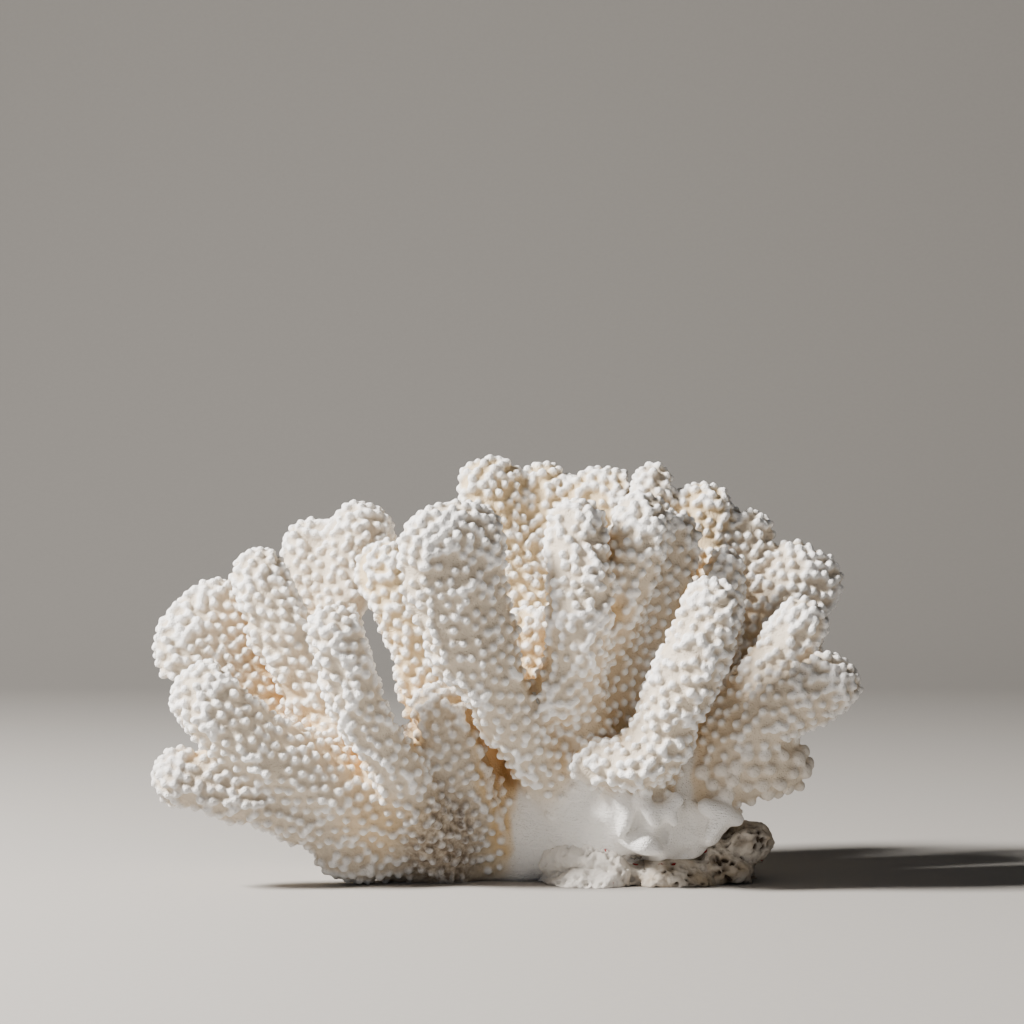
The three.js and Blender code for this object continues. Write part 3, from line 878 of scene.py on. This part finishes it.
# %% The bleached coral
TIP_WHITE, BARE_WHITE, SKIN_PALE_AND_SHADE, SKIN_CREAM = "FFFEFC", "F8F6F2", "D8CBB8", "DCC7A2"
CROOK_GOLD_DUST_AND_GLOW, HOLLOW_TAN_DUST_AND_SHADE, STAIN_AND_SHADE_BROWN = "DBC096", "BF9B6C", "6E5F4E"
PATCH, MOTTLE, PORE, GRAIN = 14 * MM, 2.2 * MM, 0.8 * MM, 0.6 * MM
LIME_IOR = 1.5


def coral_skeleton(name, bump_depth):
    """The skeleton's finish; bump_depth is how deep its pores look."""
    made, tree = material_tree(name)
    place = add(tree, "ShaderNodeTexCoord").outputs["Object"]
    patch = pattern(tree, "ShaderNodeTexNoise", place, PATCH, Detail=3.0)
    mottle = pattern(tree, "ShaderNodeTexNoise", place, MOTTLE, Detail=2.0)
    # Partly the lime's own whiter tips and partly painted light: tips turn white where they rise and lie
    # open, less under the wide lobe, and the darker skin between them is painted shade.
    tip = span(tree, mark(tree, "rise"), 0.3, 1.6)
    tip = calc(tree, "MULTIPLY", tip, span(tree, mark(tree, "open"), 0.35, 0.75, 0.35, 1.0))
    tip = calc(tree, "MULTIPLY", tip, span(tree, mark(tree, "wide"), 0.0, 1.0, 1.0, 0.35))
    warm = span(tree, mark(tree, "reach"), 0.0, 0.12)
    # The creamier skin of the inner pieces is painted shade.
    skin_colour = mix(tree, mark(tree, "cream"), linear(SKIN_PALE_AND_SHADE), linear(SKIN_CREAM))
    skin_colour = mix(tree, warm, linear(BARE_WHITE), skin_colour)
    uneven = calc(tree, "MULTIPLY", calc(tree, "SUBTRACT", patch, 0.5), 0.3)
    # Painted shade and a painted warm glow: the less open a point lies, the more golden and then tan it
    # turns, with some real dust in it; the bare stem gets less of it.
    bright_stem = span(tree, mark(tree, "reach"), 0.0, 0.08, 0.3, 0.0)
    shut = calc(tree, "ADD", calc(tree, "ADD", mark(tree, "open"), uneven), bright_stem)
    colour = mix(tree, span(tree, shut, 0.9, 0.55), skin_colour, linear(CROOK_GOLD_DUST_AND_GLOW))
    colour = mix(tree, span(tree, shut, 0.55, 0.25), colour, linear(HOLLOW_TAN_DUST_AND_SHADE))
    colour = mix(tree, tip, colour, linear(TIP_WHITE))
    # A grey-brown stain on the old foot, deepened into painted shade.
    stain = calc(tree, "MULTIPLY", mark(tree, "stain"), span(tree, mottle, 0.3, 0.65, 0.3, 0.95))
    colour = mix(tree, stain, colour, linear(STAIN_AND_SHADE_BROWN))
    pores = pattern(tree, "ShaderNodeTexVoronoi", place, PORE)
    grains = pattern(tree, "ShaderNodeTexNoise", place, GRAIN)
    line = vector(tree, "MULTIPLY", place, (1 / (3 * MM), 1 / (3 * MM), 1 / (0.7 * MM)))
    lines = pattern(tree, "ShaderNodeTexNoise", line, 1.0, Detail=2.0)
    bare = span(tree, mark(tree, "reach"), 0.0, 0.06, 1.6, 0.0)
    relief = calc(tree, "ADD", span(tree, pores, 0.0, 0.45), calc(tree, "MULTIPLY", grains, 0.6))
    relief = calc(tree, "ADD", relief, calc(tree, "MULTIPLY", lines, bare))
    sockets = {"Strength": 0.75, "Distance": bump_depth, "Height": relief}
    bump = add(tree, "ShaderNodeBump", sockets).outputs[0]
    sockets = {"Base Color": colour, "Normal": bump, "Roughness": 0.85}
    show(tree, {**sockets, "IOR": LIME_IOR, "Specular IOR Level": 0.3})
    return made


finishes = {
    "coral_white": coral_skeleton("bleached_coral", 0.35 * MM),
    "coral_cream": coral_skeleton("cream_coral", 0.35 * MM),
    "coral_old": coral_skeleton("stained_and_shaded_coral", 0.45 * MM),
}

# %% [markdown]
# ## Reef limestone
# The rock is old reef: grey and beige lime, dull as plaster, painted darker in its holes as shade, with
# a few crusts of red algae, thin as paint and a few millimetres wide. Its left end is white with the
# foot of the coral.

# %% The reef limestone
ROCK_PALE, ROCK_BEIGE, HOLE_SHADE_BROWN, CRUST_RED = "D9D1C5", "B3A48E", "55483B", "9C2F33"
made, tree = material_tree("reef_limestone")
place = add(tree, "ShaderNodeTexCoord").outputs["Object"]
patch = pattern(tree, "ShaderNodeTexNoise", place, 8 * MM, Detail=4.0)
colour = mix(tree, span(tree, patch, 0.38, 0.62), linear(ROCK_PALE), linear(ROCK_BEIGE))
# Painted shade: the deeper a point sinks into a hole, the darker brown it is.
colour = mix(tree, span(tree, mark(tree, "rise"), -0.3, -1.6), colour, linear(HOLE_SHADE_BROWN))
left = add(tree, "ShaderNodeSeparateXYZ", {0: place}).outputs[0]
left = span(tree, calc(tree, "ADD", left, calc(tree, "MULTIPLY", patch, 30 * MM)), 70 * MM, 52 * MM)
colour = mix(tree, calc(tree, "MULTIPLY", left, 0.9), colour, linear("F1EDE6"))
speck = pattern(tree, "ShaderNodeTexNoise", place, 5 * MM, Detail=1.0)
colour = mix(tree, span(tree, speck, 0.7, 0.73), colour, linear(CRUST_RED))
grains = pattern(tree, "ShaderNodeTexNoise", place, 0.8 * MM, Detail=3.0)
bump = add(tree, "ShaderNodeBump", {"Strength": 0.7, "Distance": 0.4 * MM, "Height": grains}).outputs[0]
sockets = {"Base Color": colour, "Normal": bump, "Roughness": 0.92}
show(tree, {**sockets, "IOR": LIME_IOR, "Specular IOR Level": 0.25})
finishes["reef_rock"] = made
print("materials", [m.name for m in finishes.values()])

# %% [markdown]
# ## Hand the pieces to the frame
# Each piece stands for the solid of the same name, and takes its finish from that solid's slot.

# %% Tie the pieces to their solids
slots = {name: "coral_white" for name in nodes}
slots.update({name: "coral_cream" for name in CREAM})
slots.update({"left_stem": "coral_old", ROCK_PIECE: "reef_rock"})
for name, piece in pieces.items():
    piece.data.materials.clear()
    piece.data.materials.append(finishes[slots[name]])
    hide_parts(name)
    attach(piece, "root")
for helper in (solids, skin, coral, drops):
    bpy.data.objects.remove(helper)
print("largest piece", max(len(triangles_of(piece.data)) for piece in pieces.values()), "triangles")

# %% [markdown]
# ## Floor, light and camera
# A pale sweep of paper, floor and backdrop in one, so that no line runs behind the coral. One strong
# soft light stands high on the left and draws every knob. A weak cool one in front fills the shadows.

# %% The sweep of paper
SWEEP_BACK, SWEEP_BEND, SWEEP_SIDE, SWEEP_FRONT, SWEEP_HIGH = 2.2, 0.9, 3.2, 3.2, 3.0
line = [(-SWEEP_FRONT, 0.0), (SWEEP_BACK - SWEEP_BEND, 0.0)]
for step in range(1, 13):
    angle = math.radians(90 * step / 12)
    depth = SWEEP_BACK - SWEEP_BEND + SWEEP_BEND * math.sin(angle)
    line.append((depth, SWEEP_BEND * (1 - math.cos(angle))))
line.append((SWEEP_BACK, SWEEP_HIGH))
points = [(side, y, z) for y, z in line for side in (-SWEEP_SIDE, SWEEP_SIDE)]
faces = [(2 * k, 2 * k + 1, 2 * k + 3, 2 * k + 2) for k in range(len(line) - 1)]
mesh = bpy.data.meshes.new("paper_sweep")
mesh.from_pydata(points, [], faces)
sweep = object_from("paper_sweep", mesh)
mesh.polygons.foreach_set("use_smooth", [True] * len(mesh.polygons))
paper, tree = material_tree("matt_paper")
place = add(tree, "ShaderNodeTexCoord").outputs["Object"]
fibres = pattern(tree, "ShaderNodeTexNoise", place, 3 * MM, Detail=3.0)
colour = mix(tree, fibres, linear("A29F9B"), linear("A7A4A0"))
show(tree, {"Base Color": colour, "Roughness": 0.9})
mesh.materials.append(paper)
sweep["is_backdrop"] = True


# %% The lights
def soft_light(name, place, size, power, tint):
    data = bpy.data.lights.new(name, "AREA")
    data.size, data.energy, data.color = size, power, linear(tint)[:3]
    lamp = object_from(name, data)
    lamp.location = place
    lamp.rotation_euler = (Vector((0, 0, 0.06)) - Vector(place)).to_track_quat("-Z", "Y").to_euler()


soft_light("key_light", (-1.12, -0.4, 1.0), 0.3, 98.0, "FFFAF4")
soft_light("fill_light", (-0.3, -1.3, 0.3), 0.8, 1.2, "EAF1FF")
world = bpy.data.worlds.new("studio")
world.use_nodes = True
world.node_tree.nodes["Background"].inputs[0].default_value = linear("DDE2EA")
world.node_tree.nodes["Background"].inputs[1].default_value = 0.035
bpy.context.scene.world = world

# %% [markdown]
# The camera stands 1.2 m away at the height of a hand above the coral's middle and looks level, with a
# long lens.

# %% The camera
data = bpy.data.cameras.new("camera")
data.lens, data.sensor_width = 124.1, 36.0
camera = object_from("camera", data)
camera.location = (0.003, -1.2077, 0.125)
camera.rotation_euler = (math.radians(90), 0, 0)
bpy.context.scene.camera = camera

# %% [markdown]
# ## The size
# How far the finished coral has grown past the box of the imported model is printed, in mm.

# %% Print how far the coral grew past the solids
low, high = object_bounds()
past = np.concatenate([np.array(cad_low - low), np.array(high - cad_high)]) / MM
print("grown past the solids by, in mm:", past.round(1))
